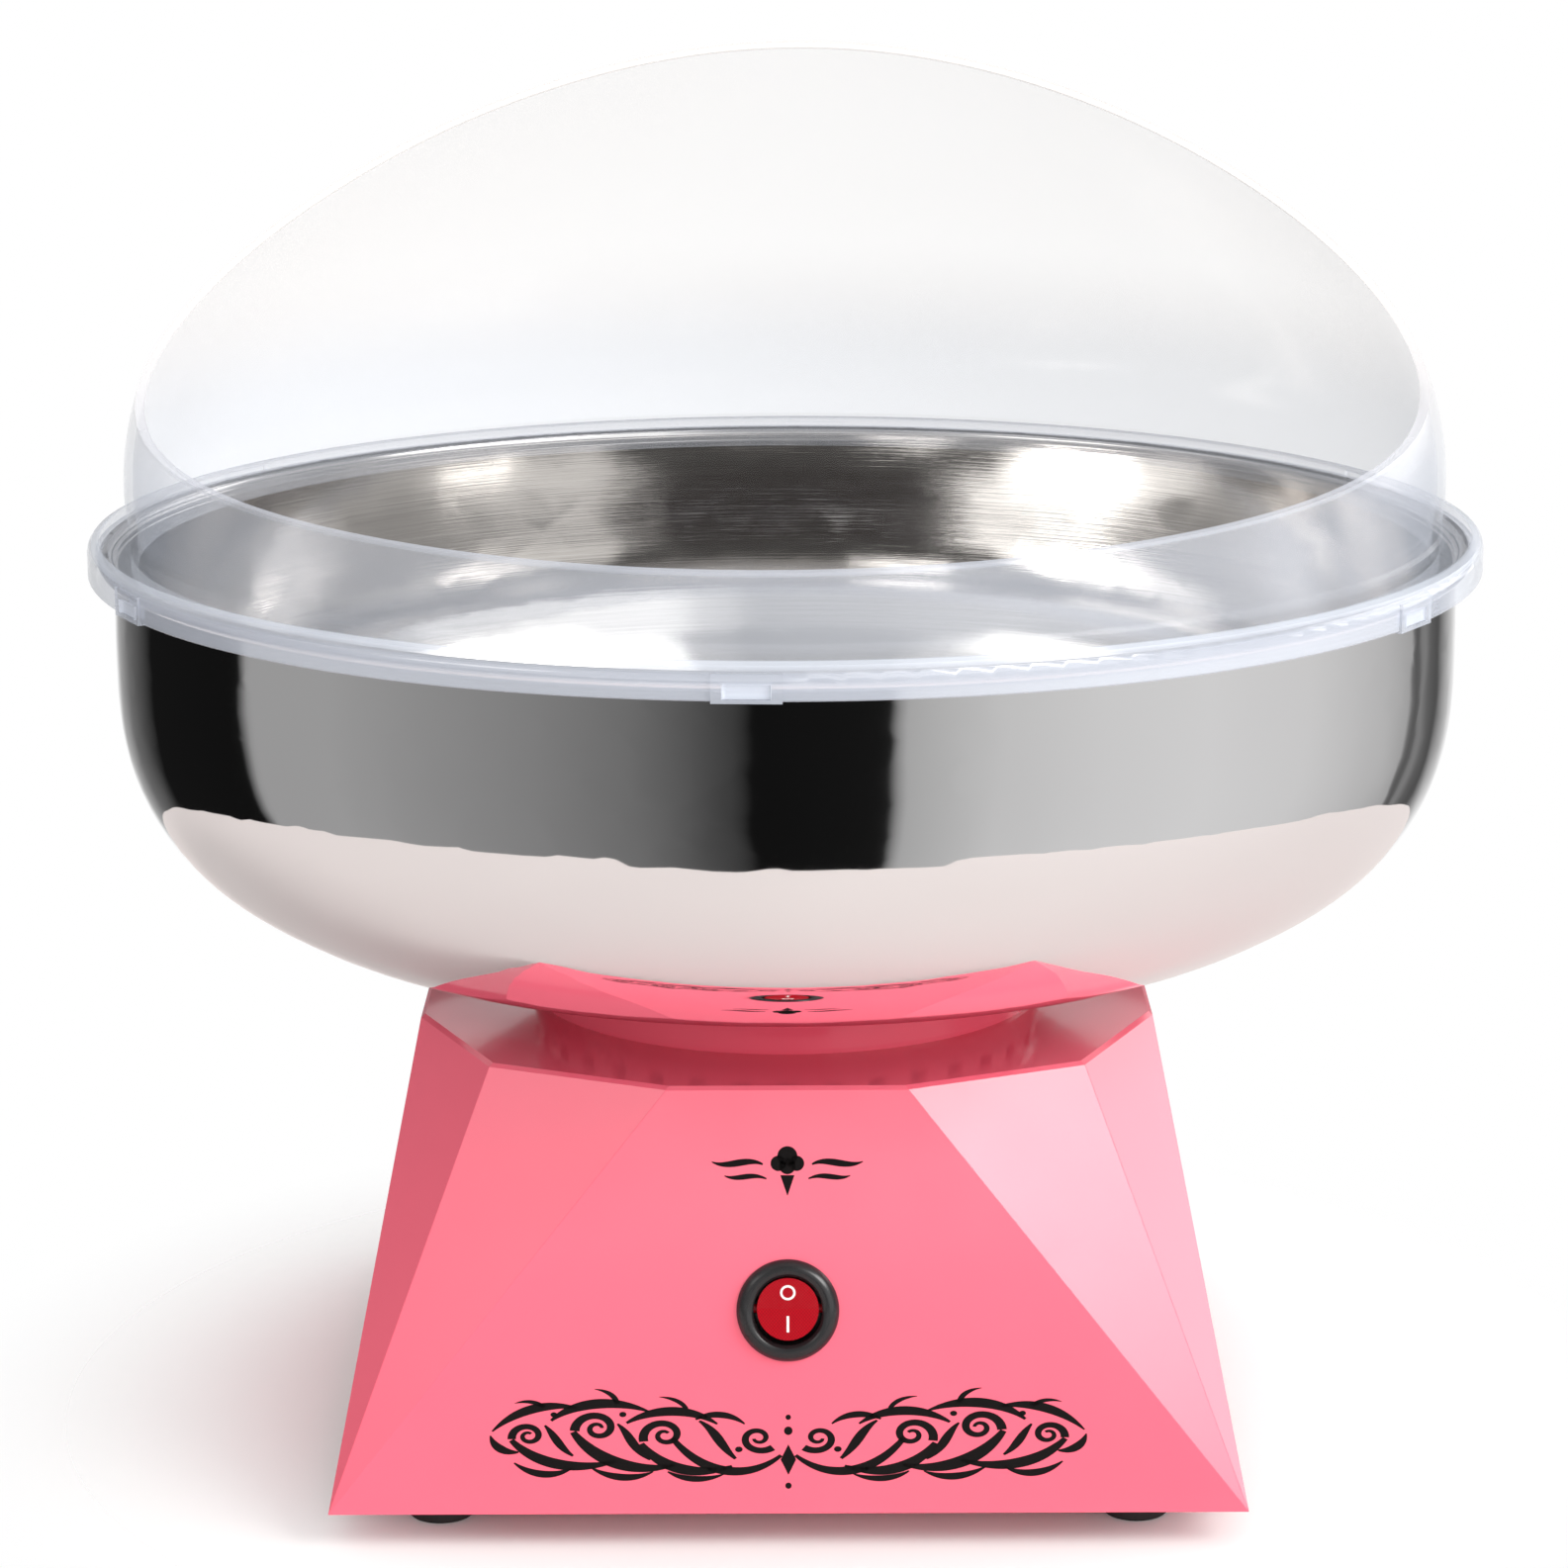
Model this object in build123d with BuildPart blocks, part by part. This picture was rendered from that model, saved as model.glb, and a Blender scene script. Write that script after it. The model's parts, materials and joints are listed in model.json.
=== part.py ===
from build123d import *
import math
import os

os.makedirs("parts", exist_ok=True)

# ---------------------------------------------------------------------------
# Table-top cotton candy machine: faceted plastic base with a motor, a ring
# heater and a rocker switch, a lift-off steel bowl, and a clip-on clear guard.
# Millimetres, +Z up, origin on the table under the centre of the machine,
# front (switch side) towards -Y.
# ---------------------------------------------------------------------------

# base housing
FOOT_H = 8.0          # rubber feet, clear height under the housing
BASE_Z = FOOT_H       # underside of the housing
BASE_HALF = 101.5     # half side of the square bottom
DECK_Z = 101.0        # top face of the housing
TOP_A = 26.0          # twelve-sided top: (A, C), (B, B), (C, A) in each quarter
TOP_B = 66.2
TOP_C = 84.5
WALL = 2.6
DECK_T = 2.6

# bowl seat, on the deck
SEAT_R = 60.0
SEAT_TOP = 113.4

# bowl
BOWL_T = 1.0
BOWL_HOLE_R = 41.0
BEAD_R = 1.8
BEAD_RC = 156.0
BEAD_Z = 207.4
BEAD_FLAT = 209.1     # top of the bead, where the guard rests

# guard
RIM_R = 160.0
RIM_BOTTOM = 203.8
RIM_TOP = 212.0
DOME_T = 2.0
GUARD_TURN = -2.8     # degrees that the guard is turned on the bowl
TAB_COUNT = 6

# spinning head
HEAD_R = 33.5
SHAFT_R = 3.0
RUN = 0.05            # radial running clearance

# switch
SWITCH_Z = 52.4
BEZEL_R = 11.3
ROCKER_R = 7.35
ROCKER_SLOT = 7.6

LEAN = math.degrees(math.atan((BASE_HALF - TOP_C) / (DECK_Z - BASE_Z)))
SWITCH_Y = -BASE_HALF + (SWITCH_Z - BASE_Z) * (BASE_HALF - TOP_C) / (DECK_Z - BASE_Z)


def facet_planes(inset):
    """Outward planes of the housing's twelve side facets, moved in by inset."""
    planes = []
    for k in range(4):
        turn = math.radians(90 * k)

        def rot(p):
            x, y, z = p
            return Vector(
                x * math.cos(turn) - y * math.sin(turn),
                x * math.sin(turn) + y * math.cos(turn),
                z,
            )

        corner = (-BASE_HALF, -BASE_HALF, BASE_Z)
        other = (BASE_HALF, -BASE_HALF, BASE_Z)
        v1, v1r = (-TOP_A, -TOP_C, DECK_Z), (TOP_A, -TOP_C, DECK_Z)
        v2, v3 = (-TOP_B, -TOP_B, DECK_Z), (-TOP_C, -TOP_A, DECK_Z)
        for a, b, c in ((corner, other, v1r), (corner, v1, v2), (corner, v2, v3)):
            a, b, c = rot(a), rot(b), rot(c)
            n = (b - a).cross(c - a).normalized()
            if n.dot(a - Vector(0, 0, 60)) < 0:
                n = -n
            planes.append(Plane(origin=a - n * inset, z_dir=n))
    return planes


def arc_points(points, thickness):
    """Points of an open profile moved to its left by thickness."""
    moved = []
    for i, (r, z) in enumerate(points):
        a = points[max(i - 1, 0)]
        b = points[min(i + 1, len(points) - 1)]
        dr, dz = b[0] - a[0], b[1] - a[1]
        n = math.hypot(dr, dz)
        moved.append((r - dz / n * thickness, z + dr / n * thickness))
    return moved


def polar(radius, degrees):
    return (radius * math.cos(math.radians(degrees)), radius * math.sin(math.radians(degrees)))


POSTS = [(50, 50), (-50, 50), (-50, -50), (50, -50)]
HANGERS = [(38.5, 0), (-38.5, 0)]
FEET = {
    "foot_front_left": (-78.0, -80.0),
    "foot_front_right": (78.0, -80.0),
    "foot_rear_left": (-78.0, 80.0),
    "foot_rear_right": (78.0, 80.0),
}
SWITCH_PLANE = Plane(
    origin=(0, SWITCH_Y, SWITCH_Z),
    x_dir=(1, 0, 0),
    z_dir=(0, -math.cos(math.radians(LEAN)), math.sin(math.radians(LEAN))),
)
GLAND_Z = 24.0
GLAND_X = 45.0
GLAND_Y = BASE_HALF - (GLAND_Z - BASE_Z) * (BASE_HALF - TOP_C) / (DECK_Z - BASE_Z)
GLAND_PLANE = Plane(
    origin=(GLAND_X, GLAND_Y, GLAND_Z),
    x_dir=(1, 0, 0),
    z_dir=(0, math.cos(math.radians(LEAN)), math.sin(math.radians(LEAN))),
)

# --------------------------------------------------------------------- base
with BuildPart() as base_shell:
    with BuildSketch(Plane.XY.offset(BASE_Z)):
        Rectangle(2 * BASE_HALF, 2 * BASE_HALF)
    extrude(amount=DECK_Z - BASE_Z)
    for p in facet_planes(0):
        split(bisect_by=p, keep=Keep.BOTTOM)
    with BuildPart(mode=Mode.PRIVATE) as hollow:
        with BuildSketch(Plane.XY.offset(BASE_Z - 10)):
            Rectangle(2.2 * BASE_HALF, 2.2 * BASE_HALF)
        extrude(amount=DECK_Z - DECK_T - BASE_Z + 10)
        for p in facet_planes(WALL):
            split(bisect_by=p, keep=Keep.BOTTOM)
    add(hollow.part, mode=Mode.SUBTRACT)
    # posts for the bottom plate's screws, with pilot holes from below
    with BuildSketch(Plane.XY.offset(12.0)):
        with Locations(*POSTS):
            Circle(5.0)
    extrude(amount=DECK_Z - DECK_T - 12.0 + 0.2)
    with BuildSketch(Plane.XY.offset(12.0)):
        with Locations(*POSTS):
            Circle(1.6)
    extrude(amount=16.0, mode=Mode.SUBTRACT)
    # hangers for the motor bracket
    with BuildSketch(Plane.XY.offset(89.2)):
        with Locations(*HANGERS):
            Circle(4.0)
    extrude(amount=DECK_Z - DECK_T - 89.2 + 0.2)
    with BuildSketch(Plane.XY.offset(89.2)):
        with Locations(*HANGERS):
            Circle(1.5)
    extrude(amount=8.0, mode=Mode.SUBTRACT)
    # air and shaft opening in the deck
    with BuildSketch(Plane.XY.offset(DECK_Z - DECK_T - 1)):
        Circle(31.0)
    extrude(amount=DECK_T + 2, mode=Mode.SUBTRACT)
    # holes for the heater cup's screws
    with BuildSketch(Plane.XY.offset(DECK_Z - DECK_T - 1)):
        with PolarLocations(41.5, 3, start_angle=90):
            Circle(1.4)
    extrude(amount=DECK_T + 2, mode=Mode.SUBTRACT)
    # locating groove of the seat ring
    with BuildSketch(Plane.XY.offset(DECK_Z - 1.2)):
        Circle(SEAT_R - 1.0)
        Circle(SEAT_R - 2.6, mode=Mode.SUBTRACT)
    extrude(amount=2.0, mode=Mode.SUBTRACT)
    # switch and cord gland openings
    with BuildSketch(SWITCH_PLANE.offset(-12)):
        Circle(10.1)
    extrude(amount=24, mode=Mode.SUBTRACT)
    with BuildSketch(GLAND_PLANE.offset(-8)):
        Circle(6.0)
    extrude(amount=16, mode=Mode.SUBTRACT)
    # soften the rim of the deck
    top_edges = base_shell.edges().filter_by(GeomType.LINE).filter_by_position(
        Axis.Z, DECK_Z - 0.01, DECK_Z + 0.01
    )
    chamfer(top_edges, length=0.8)
base_shell.part.label = "base_shell"
export_step(base_shell.part, "parts/base_shell.step")

with BuildPart() as bowl_seat:
    with BuildSketch(Plane.XZ):
        with BuildLine():
            Polyline(
                (SEAT_R - 3.2, DECK_Z),
                (SEAT_R - 2.4, DECK_Z),
                (SEAT_R - 2.4, DECK_Z - 1.1),
                (SEAT_R - 1.2, DECK_Z - 1.1),
                (SEAT_R - 1.2, DECK_Z),
                (SEAT_R, DECK_Z),
                (SEAT_R, DECK_Z + 1.0),
                (SEAT_R - 0.6, SEAT_TOP - 1.6),
                (SEAT_R - 1.6, SEAT_TOP),
                (SEAT_R - 4.6, SEAT_TOP),
                (SEAT_R - 4.6, SEAT_TOP - 2.0),
                (SEAT_R - 3.2, SEAT_TOP - 3.0),
                (SEAT_R - 3.2, DECK_Z),
            )
        make_face()
    revolve(axis=Axis.Z)
    # vent notches all round the upper edge
    with BuildSketch(Plane.XY.offset(SEAT_TOP - 5.6)):
        with PolarLocations(SEAT_R - 2.5, 36):
            Rectangle(9.0, 4.2)
    extrude(amount=3.6, mode=Mode.SUBTRACT)
bowl_seat.part.label = "bowl_seat"
export_step(bowl_seat.part, "parts/bowl_seat.step")

with BuildPart() as bottom_plate:
    with BuildSketch(Plane.XY.offset(9.2)):
        RectangleRounded(194.0, 194.0, 4.0)
    extrude(amount=2.8)
    # intake slots
    with BuildSketch(Plane.XY.offset(9.0)):
        with GridLocations(9.0, 44.0, 7, 2):
            SlotOverall(34.0, 3.6, rotation=90)
    extrude(amount=4.0, mode=Mode.SUBTRACT)
    # countersunk screw holes and holes for the feet's stems
    with BuildSketch(Plane.XY.offset(9.0)):
        with Locations(*POSTS):
            Circle(2.2)
        with Locations(*FEET.values()):
            Circle(3.0)
    extrude(amount=4.0, mode=Mode.SUBTRACT)
    with BuildSketch(Plane.XY.offset(9.2)):
        with Locations(*POSTS):
            Circle(4.2)
    extrude(amount=1.2, mode=Mode.SUBTRACT)
    # stiffening ribs on the inner face
    with BuildSketch(Plane.XY.offset(12.0)):
        with Locations((0, 62), (0, -62)):
            Rectangle(90.0, 2.0)
        with Locations((78, 0), (-78, 0)):
            Rectangle(2.0, 100.0)
    extrude(amount=5.0)
bottom_plate.part.label = "bottom_plate"
export_step(bottom_plate.part, "parts/bottom_plate.step")

with BuildPart() as base_screws:
    for x, y in POSTS:
        with BuildSketch(Plane.XY.offset(9.3)):
            with Locations((x, y)):
                Circle(3.9)
        extrude(amount=1.1)
        with BuildSketch(Plane.XY.offset(10.4)):
            with Locations((x, y)):
                Circle(1.6)
        extrude(amount=15.0)
    with BuildSketch(Plane.XY.offset(9.3)):
        with Locations(*POSTS):
            Rectangle(4.4, 0.9)
            Rectangle(0.9, 4.4)
    extrude(amount=0.6, mode=Mode.SUBTRACT)
base_screws.part.label = "base_screws"
export_step(base_screws.part, "parts/base_screws.step")

for foot_name, (fx, fy) in FEET.items():
    with BuildPart() as foot:
        with BuildSketch(Plane(origin=(fx, fy, 0), x_dir=(1, 0, 0), z_dir=(0, -1, 0))):
            with BuildLine():
                Polyline(
                    (0, 0.6), (4.2, 0.6), (5.0, 0), (7.0, 0), (7.6, 0.6), (8.2, 9.2),
                    (3.0, 9.2), (3.0, 12.0), (4.0, 12.2), (3.0, 15.0), (0, 15.4), (0, 0.6),
                )
            make_face()
        revolve(axis=Axis((fx, fy, 0), (0, 0, 1)))
    foot.part.label = foot_name
    export_step(foot.part, f"parts/{foot_name}.step")

# ------------------------------------------------------------------- switch
with BuildPart() as switch_housing:
    with BuildSketch(Plane.YZ):
        with BuildLine():
            Polyline((ROCKER_SLOT, 0.1), (BEZEL_R, 0.1), (BEZEL_R, 0.5))
            Spline(
                (BEZEL_R, 0.5), (BEZEL_R - 0.9, 1.7), (BEZEL_R - 2.1, 2.3),
                (ROCKER_SLOT + 0.5, 1.9), (ROCKER_SLOT, 1.4),
            )
            Line((ROCKER_SLOT, 1.4), (ROCKER_SLOT, 0.1))
        make_face()
    revolve(axis=Axis.Z)
    # barrel with a closed back
    with BuildSketch(Plane.XY.offset(-19.0)):
        Circle(9.9)
    extrude(amount=19.1)
    with BuildSketch(Plane.XY.offset(-9.0)):
        Circle(ROCKER_SLOT)
    extrude(amount=12.0, mode=Mode.SUBTRACT)
    # pockets for the rocker's pivot pins
    with BuildSketch(Plane.YZ.offset(-9.2)):
        with Locations((0, -2.6)):
            Circle(1.05)
    extrude(amount=18.4, mode=Mode.SUBTRACT)
    # snap wings behind the panel
    with BuildSketch(Plane.XY.offset(-6.0)):
        with Locations((10.4, 0), (-10.4, 0)):
            Rectangle(1.6, 6.0)
    extrude(amount=3.0)
    # room for the contacts
    with BuildSketch(Plane.XY.offset(-16.0)):
        Circle(6.2)
    extrude(amount=7.5, mode=Mode.SUBTRACT)
    with BuildSketch(Plane.XY.offset(-19.5)):
        with Locations((0, 3.5), (0, -3.5)):
            Rectangle(4.9, 0.9)
    extrude(amount=4.0, mode=Mode.SUBTRACT)
switch_housing_part = switch_housing.part.moved(SWITCH_PLANE.location)
switch_housing_part.label = "switch_housing"
export_step(switch_housing_part, "parts/switch_housing.step")

with BuildPart() as switch_rocker:
    # round cap with a shallow two-slope face, pivot pins along X
    with BuildSketch(Plane.XY.offset(-6.6)):
        Circle(ROCKER_R - 0.55)
    extrude(amount=10.2)
    with BuildSketch(Plane.YZ.offset(-12)):
        with BuildLine():
            Polyline((-12, 3.4), (-8, 3.4), (0, 1.5), (8, 3.4), (12, 3.4), (12, 9), (-12, 9), (-12, 3.4))
        make_face()
    extrude(amount=24, mode=Mode.SUBTRACT)
    with BuildSketch(Plane.YZ.offset(-12)):
        with BuildLine():
            Polyline((-12, -2.6), (-6.6, -2.6), (0, -6.9), (6.6, -2.6), (12, -2.6), (12, -12), (-12, -12), (-12, -2.6))
        make_face()
    extrude(amount=24, mode=Mode.SUBTRACT)
    with BuildSketch(Plane.YZ.offset(-8.9)):
        with Locations((0, -2.6)):
            Circle(1.0)
    extrude(amount=17.8)
ROCKER_REST = -7.0    # degrees: the upper end is pressed in when it is off
rocker_rest = Location((0, 0, -2.6)) * Location((0, 0, 0), (ROCKER_REST, 0, 0)) * Location((0, 0, 2.6))
switch_rocker_part = switch_rocker.part.moved(SWITCH_PLANE.location * rocker_rest)
switch_rocker_part.label = "switch_rocker"
export_step(switch_rocker_part, "parts/switch_rocker.step")

with BuildPart() as switch_terminals:
    with BuildSketch(Plane.XY.offset(-27.5)):
        with Locations((0, 3.5), (0, -3.5)):
            Rectangle(4.8, 0.8)
    extrude(amount=12.0)
    with BuildSketch(Plane.XZ.offset(-10)):
        with Locations((0, -24.5)):
            Circle(0.8)
    extrude(amount=20, mode=Mode.SUBTRACT)
switch_terminals_part = switch_terminals.part.moved(SWITCH_PLANE.location)
switch_terminals_part.label = "switch_terminals"
export_step(switch_terminals_part, "parts/switch_terminals.step")

with BuildPart() as cord_gland:
    with BuildSketch(Plane.XY.offset(-6.0)):
        Circle(5.9)
    extrude(amount=6.1)
    with BuildSketch(Plane.XY.offset(0.1)):
        Circle(8.5)
    extrude(amount=2.4)
    fillet(cord_gland.edges().group_by(Axis.Z)[-1], 1.0)
    with BuildSketch(Plane.XY.offset(-7.0)):
        Circle(3.6)
    extrude(amount=12.0, mode=Mode.SUBTRACT)
cord_gland_part = cord_gland.part.moved(GLAND_PLANE.location)
cord_gland_part.label = "cord_gland"
export_step(cord_gland_part, "parts/cord_gland.step")

# -------------------------------------------------------------------- motor
MOTOR_R = 26.0
MOTOR_BOT, MOTOR_TOP = 37.0, 84.0
with BuildPart() as motor_can:
    with BuildSketch(Plane.XZ):
        with BuildLine():
            Polyline(
                (6.0, MOTOR_TOP - 1.4), (24.4, MOTOR_TOP - 1.4), (24.4, MOTOR_BOT),
                (MOTOR_R, MOTOR_BOT), (MOTOR_R, MOTOR_TOP - 1.5), (MOTOR_R - 1.5, MOTOR_TOP),
                (9.0, MOTOR_TOP), (9.0, MOTOR_TOP + 3.0), (6.0, MOTOR_TOP + 3.0), (6.0, MOTOR_TOP - 1.4),
            )
        make_face()
    revolve(axis=Axis.Z)
motor_can.part.label = "motor_can"
export_step(motor_can.part, "parts/motor_can.step")

with BuildPart() as motor_end_cap:
    with BuildSketch(Plane.XZ):
        with BuildLine():
            Polyline(
                (5.5, MOTOR_BOT - 6.0), (9.0, MOTOR_BOT - 6.0), (9.0, MOTOR_BOT - 3.0),
                (MOTOR_R, MOTOR_BOT - 3.0), (MOTOR_R, MOTOR_BOT), (24.3, MOTOR_BOT),
                (24.3, MOTOR_BOT + 2.0), (5.5, MOTOR_BOT + 2.0), (5.5, MOTOR_BOT - 6.0),
            )
        make_face()
    revolve(axis=Axis.Z)
    with BuildSketch(Plane.XY.offset(MOTOR_BOT - 4.0)):
        with PolarLocations(16.5, 4, start_angle=45):
            Circle(3.5)
    extrude(amount=8.0, mode=Mode.SUBTRACT)
motor_end_cap.part.label = "motor_end_cap"
export_step(motor_end_cap.part, "parts/motor_end_cap.step")

with BuildPart() as motor_magnets:
    with BuildSketch(Plane.XY.offset(43.0)):
        Circle(24.3)
        Circle(21.2, mode=Mode.SUBTRACT)
        Rectangle(60.0, 13.0, mode=Mode.SUBTRACT)
    extrude(amount=34.0)
motor_magnets.part.label = "motor_magnets"
export_step(motor_magnets.part, "parts/motor_magnets.step")

with BuildPart() as upper_bush:
    with BuildSketch(Plane.XY.offset(MOTOR_TOP - 3.4)):
        Circle(6.0)
        Circle(SHAFT_R + RUN, mode=Mode.SUBTRACT)
    extrude(amount=6.4)
upper_bush.part.label = "upper_bush"
export_step(upper_bush.part, "parts/upper_bush.step")

with BuildPart() as lower_bush:
    with BuildSketch(Plane.XY.offset(MOTOR_BOT - 6.0)):
        Circle(5.5)
        Circle(SHAFT_R + RUN, mode=Mode.SUBTRACT)
    extrude(amount=6.0)
lower_bush.part.label = "lower_bush"
export_step(lower_bush.part, "parts/lower_bush.step")

with BuildPart() as motor_bracket:
    with BuildSketch(Plane.XY.offset(MOTOR_TOP)):
        SlotOverall(92.0, 30.0)
        Circle(9.2, mode=Mode.SUBTRACT)
        with Locations(*HANGERS):
            Circle(1.7, mode=Mode.SUBTRACT)
        with Locations((17, 0), (-17, 0)):
            Circle(1.7, mode=Mode.SUBTRACT)
    extrude(amount=2.0)
motor_bracket.part.label = "motor_bracket"
export_step(motor_bracket.part, "parts/motor_bracket.step")

with BuildPart() as motor_dampers:
    with BuildSketch(Plane.XY.offset(86.0)):
        with Locations(*HANGERS):
            Circle(5.0)
        with Locations(*HANGERS):
            Circle(1.6, mode=Mode.SUBTRACT)
    extrude(amount=3.2)
motor_dampers.part.label = "motor_dampers"
export_step(motor_dampers.part, "parts/motor_dampers.step")

with BuildPart() as motor_screws:
    for x, y in HANGERS:
        with BuildSketch(Plane.XY.offset(81.6)):
            with Locations((x, y)):
                Circle(3.2)
        extrude(amount=2.4)
        with BuildSketch(Plane.XY.offset(84.0)):
            with Locations((x, y)):
                Circle(1.5)
        extrude(amount=12.0)
motor_screws.part.label = "motor_screws"
export_step(motor_screws.part, "parts/motor_screws.step")

with BuildPart() as bracket_rivets:
    for x in (17, -17):
        with BuildSketch(Plane.XY.offset(MOTOR_TOP)):
            with Locations((x, 0)):
                Circle(1.65)
        extrude(amount=2.0)
        with BuildSketch(Plane.XY.offset(MOTOR_TOP + 2.0)):
            with Locations((x, 0)):
                Circle(3.0)
        extrude(amount=1.2)
bracket_rivets.part.label = "bracket_rivets"
export_step(bracket_rivets.part, "parts/bracket_rivets.step")

with BuildPart() as rectifier_board:
    with BuildSketch(Plane.XY.offset(27.0)):
        with Locations((0, 0)):
            RectangleRounded(44.0, 30.0, 2.0)
        Circle(6.0, mode=Mode.SUBTRACT)
    extrude(amount=1.6)
    with BuildSketch(Plane.XY.offset(22.0)):
        with Locations((14.5, 0)):
            Rectangle(6.0, 14.0)
        with Locations((-15, 7), (-15, -7)):
            Circle(3.6)
    extrude(amount=5.0)
    # two stand-offs to the end cap
    with BuildSketch(Plane.XY.offset(28.6)):
        with Locations((0, 12), (0, -12)):
            Circle(2.0)
    extrude(amount=MOTOR_BOT - 3.0 - 28.6)
rectifier_board.part.label = "rectifier_board"
export_step(rectifier_board.part, "parts/rectifier_board.step")

# ------------------------------------------------------------------- wiring
with BuildPart() as terminal_block:
    with BuildSketch(Plane.XY.offset(12.0)):
        with Locations((-54, 0)):
            RectangleRounded(14.0, 34.0, 1.0)
    extrude(amount=12.0)
    # screw wells from above and wire entries through the block
    with BuildSketch(Plane.XY.offset(19.0)):
        with Locations((-54, 12), (-54, 4), (-54, -4), (-54, -12)):
            Circle(2.2)
    extrude(amount=6.0, mode=Mode.SUBTRACT)
    with BuildSketch(Plane.YZ.offset(-62)):
        with Locations((12, 17), (4, 17), (-4, 17), (-12, 17)):
            Circle(1.5)
    extrude(amount=16.0, mode=Mode.SUBTRACT)
terminal_block.part.label = "terminal_block"
export_step(terminal_block.part, "parts/terminal_block.step")

with BuildPart() as terminal_screws:
    with BuildSketch(Plane.XY.offset(19.0)):
        with Locations((-54, 12), (-54, 4), (-54, -4), (-54, -12)):
            Circle(2.0)
    extrude(amount=3.4)
    with BuildSketch(Plane.XY.offset(21.6)):
        with Locations((-54, 12), (-54, 4), (-54, -4), (-54, -12)):
            Rectangle(3.0, 0.6)
    extrude(amount=1.0, mode=Mode.SUBTRACT)
terminal_screws.part.label = "terminal_screws"
export_step(terminal_screws.part, "parts/terminal_screws.step")


def wire_set(routes, radius, bend):
    """One solid per route: straight runs joined by round bends."""
    with BuildPart() as wires:
        for points in routes:
            with BuildLine() as route:
                FilletPolyline(*points, radius=bend)
            with BuildSketch(Plane(origin=route.line @ 0, z_dir=route.line % 0)):
                Circle(radius)
            sweep(path=route.line)
    return wires.part


heater_leads = wire_set(
    [
        [(-50, s * 12, 17), (-44, s * 12, 17), (-34, s * 18, 27), (-29.5, s * 21, 58), (-27.5, s * 19.5, 82),
         (-26.6, s * 8.6, 99), (-23.77, s * 3.34, 104.5), (-23.77, s * 3.34, 110.5)]
        for s in (-1, 1)
    ],
    1.1, 2.2,
)
heater_leads.label = "heater_leads"
export_step(heater_leads, "parts/heater_leads.step")

motor_leads = wire_set(
    [
        [(-50, s * 4, 17), (-36, s * 3.4, 17), (-20.3, s * 2.0, 19), (-20.3, s * 2.0, 27)]
        for s in (-1, 1)
    ],
    1.0, 2.2,
)
motor_leads.label = "motor_leads"
export_step(motor_leads, "parts/motor_leads.step")

SIN, COS = math.sin(math.radians(LEAN)), math.cos(math.radians(LEAN))


def on_switch(up, out):
    """World point on the switch's upright centre plane."""
    return (0, SWITCH_Y + up * SIN - out * COS, SWITCH_Z + up * COS + out * SIN)


switch_leads = wire_set(
    [
        [(-58, y, 17), (-66, y, 17), (-70, y - 8, 23), (-66, y - 19, 33 + up), (-46, y - 26, 40 + up),
         (-22, -43, 43 + up), (-6, -47.5, 43.5 + up), on_switch(up, -36.5), on_switch(up, -27.5)]
        for y, up in ((-12, -3.5), (-4, 3.5))
    ],
    1.1, 2.2,
)
switch_leads.label = "switch_leads"
export_step(switch_leads, "parts/switch_leads.step")

# -------------------------------------------------------------------- rotor
with BuildPart() as motor_shaft:
    with BuildSketch(Plane.XY.offset(29.5)):
        Circle(SHAFT_R)
    extrude(amount=112.5)
    chamfer(motor_shaft.edges().filter_by(GeomType.CIRCLE), length=0.5)
    with BuildSketch(Plane.YZ.offset(-5)):
        with Locations((0, 128.8)):
            Circle(1.0)
    extrude(amount=10, mode=Mode.SUBTRACT)
motor_shaft.part.label = "motor_shaft"
export_step(motor_shaft.part, "parts/motor_shaft.step")

with BuildPart() as drive_pin:
    with BuildSketch(Plane.YZ.offset(-6.4)):
        with Locations((0, 128.8)):
            Circle(1.0)
    extrude(amount=12.8)
drive_pin.part.label = "drive_pin"
export_step(drive_pin.part, "parts/drive_pin.step")

with BuildPart() as motor_armature:
    with BuildSketch(Plane.XY.offset(46.0)):
        Circle(20.4)
        Circle(SHAFT_R, mode=Mode.SUBTRACT)
        with PolarLocations(17.6, 5, start_angle=36):
            Rectangle(7.0, 2.4, mode=Mode.SUBTRACT)
    extrude(amount=28.0)
motor_armature.part.label = "motor_armature"
export_step(motor_armature.part, "parts/motor_armature.step")

with BuildPart() as commutator:
    with BuildSketch(Plane.XY.offset(40.0)):
        Circle(6.5)
        Circle(SHAFT_R, mode=Mode.SUBTRACT)
        with PolarLocations(6.4, 5):
            Rectangle(1.4, 0.6, mode=Mode.SUBTRACT)
    extrude(amount=5.9)
commutator.part.label = "commutator"
export_step(commutator.part, "parts/commutator.step")

with BuildPart() as cooling_fan:
    with BuildSketch(Plane.XY.offset(88.0)):
        Circle(8.0)
        Circle(SHAFT_R, mode=Mode.SUBTRACT)
    extrude(amount=8.0)
    with BuildSketch(Plane.XY.offset(94.6)):
        Circle(25.0)
        Circle(5.0, mode=Mode.SUBTRACT)
        with PolarLocations(17.0, 8, start_angle=22.5):
            Circle(4.2, mode=Mode.SUBTRACT)
    extrude(amount=1.4)
    with BuildSketch(Plane.XY.offset(88.0)):
        with PolarLocations(15.8, 8):
            Rectangle(17.0, 1.4, rotation=18)
    extrude(amount=6.8)
cooling_fan.part.label = "cooling_fan"
export_step(cooling_fan.part, "parts/cooling_fan.step")

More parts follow.
